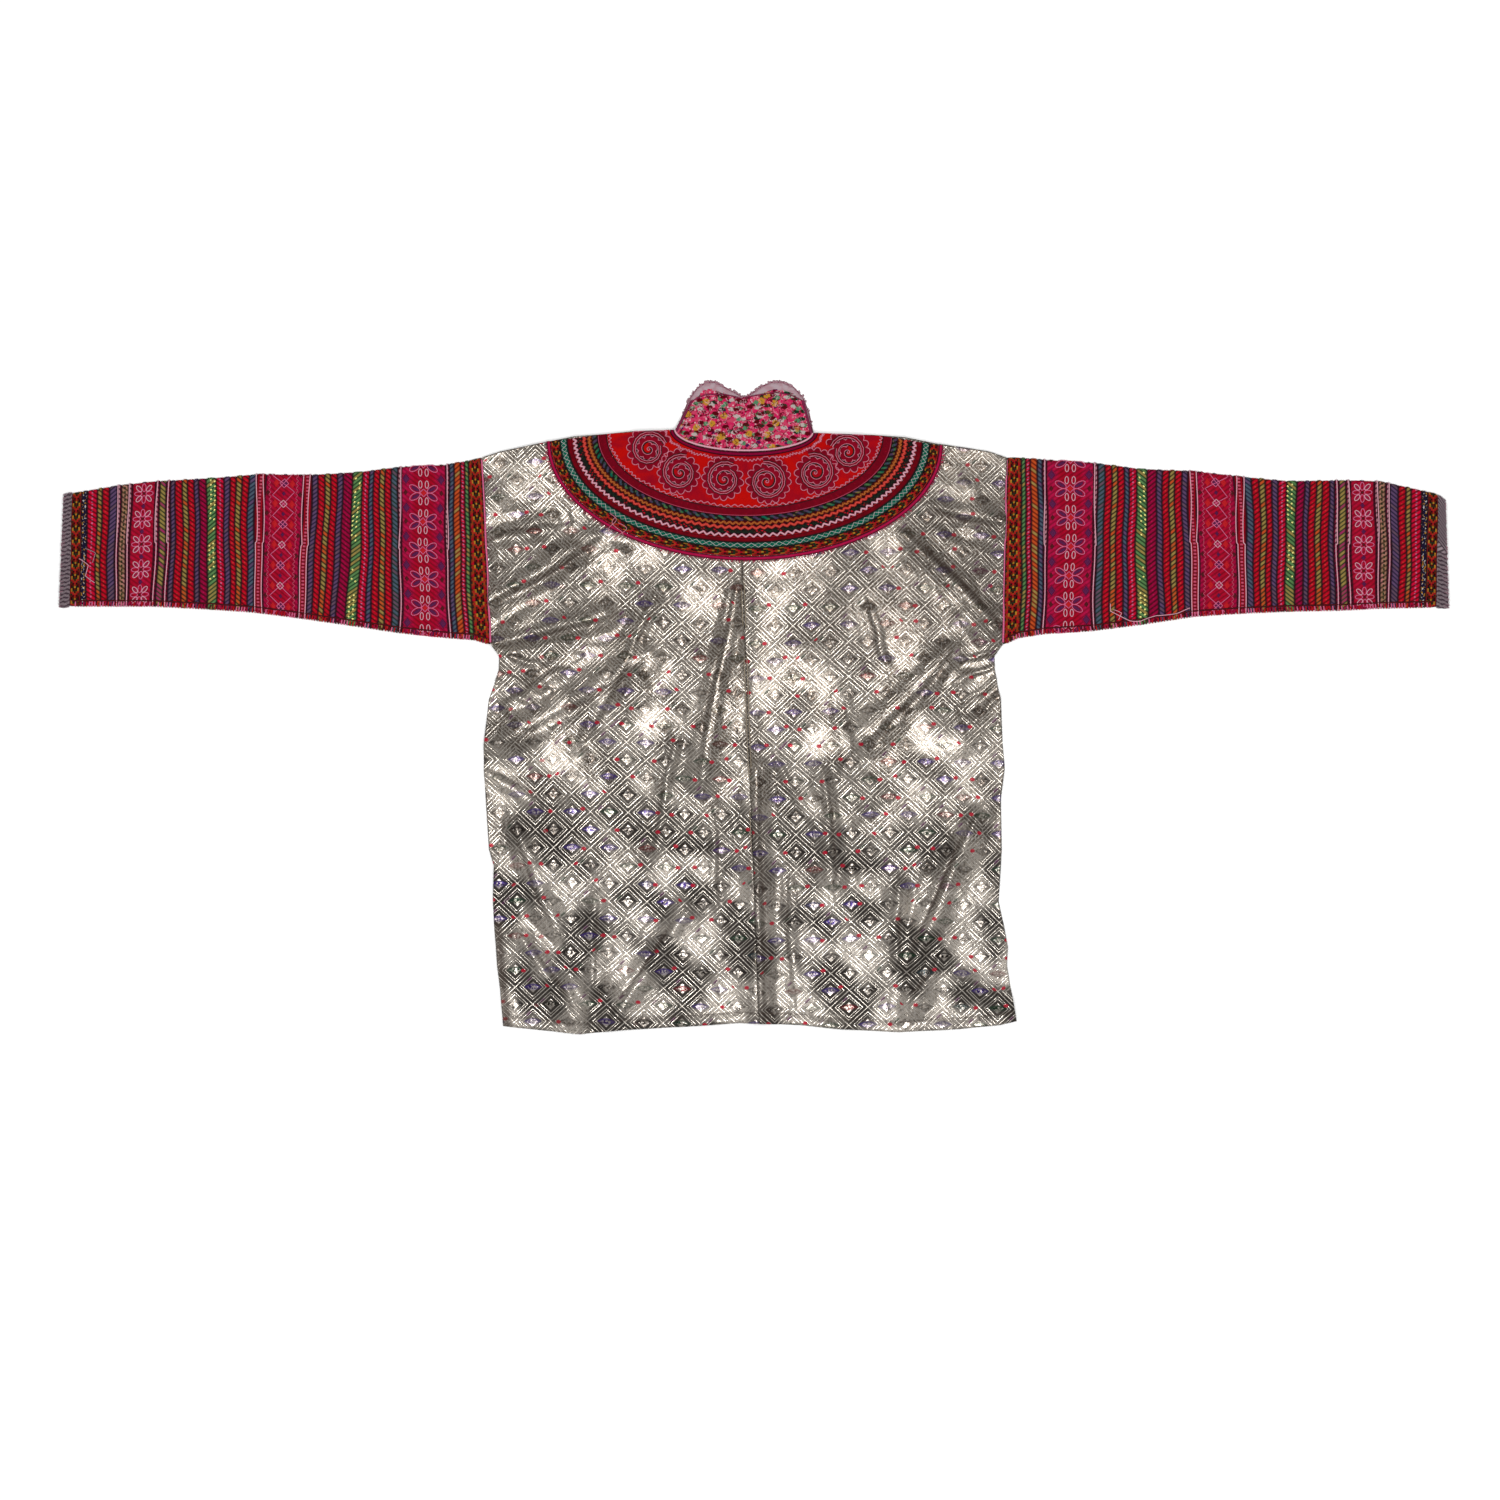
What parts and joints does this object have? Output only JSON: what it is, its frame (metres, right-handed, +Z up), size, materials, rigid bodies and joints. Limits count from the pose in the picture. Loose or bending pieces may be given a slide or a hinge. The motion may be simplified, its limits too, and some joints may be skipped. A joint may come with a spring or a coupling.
{
  "type": "hmong embroidered jacket",
  "caption": "Hmong jacket laid flat, back up: puffed metallic brocade body, round red yoke with coiled applique, ribbon-pieced sleeves and a printed stand collar.",
  "frame": {"origin": "centre of the jacket's outline on the surface it lies on", "axes": "+X towards the sleeve at the right of the picture, +Y towards the collar, +Z up from the surface"},
  "size_m": [1.3636, 0.6398, 0.0119],
  "materials": {
    "brocade": "pale gold metallic brocade with a puffed diamond pattern",
    "yoke_red": "bright red felted cloth with couched lines",
    "yoke_ribbon": "narrow ribbons, rickrack and twisted cords sewn in rings",
    "pink_binding": "hot pink bias strip",
    "dark_binding": "dark magenta bias strip",
    "applique": "crimson folded strip with pale couching",
    "collar_print": "pink cotton with a small flower print",
    "sleeve_ribbon": "crosswise ribbons, cords and embroidered bands in pinks, reds and greens",
    "edging": "grey-pink worked edging"
  },
  "bodies": {
    "root": {"back_left": "brocade", "back_right": "brocade", "front_left": "brocade", "front_right": "brocade", "yoke_field": "yoke_red", "yoke_front_left": "yoke_red", "yoke_front_right": "yoke_red", "yoke_ribbons": "yoke_ribbon", "yoke_binding": "pink_binding", "neck_binding": "dark_binding", "spiral_1": "applique", "spiral_2": "applique", "spiral_3": "applique", "spiral_4": "applique", "spiral_5": "applique", "spiral_6": "applique", "collar_back": "collar_print", "collar_front_left": "collar_print", "collar_front_right": "collar_print", "sleeve_left": "sleeve_ribbon", "sleeve_right": "sleeve_ribbon", "cuff_left": "edging", "cuff_right": "edging"}
  },
  "joints": []
}
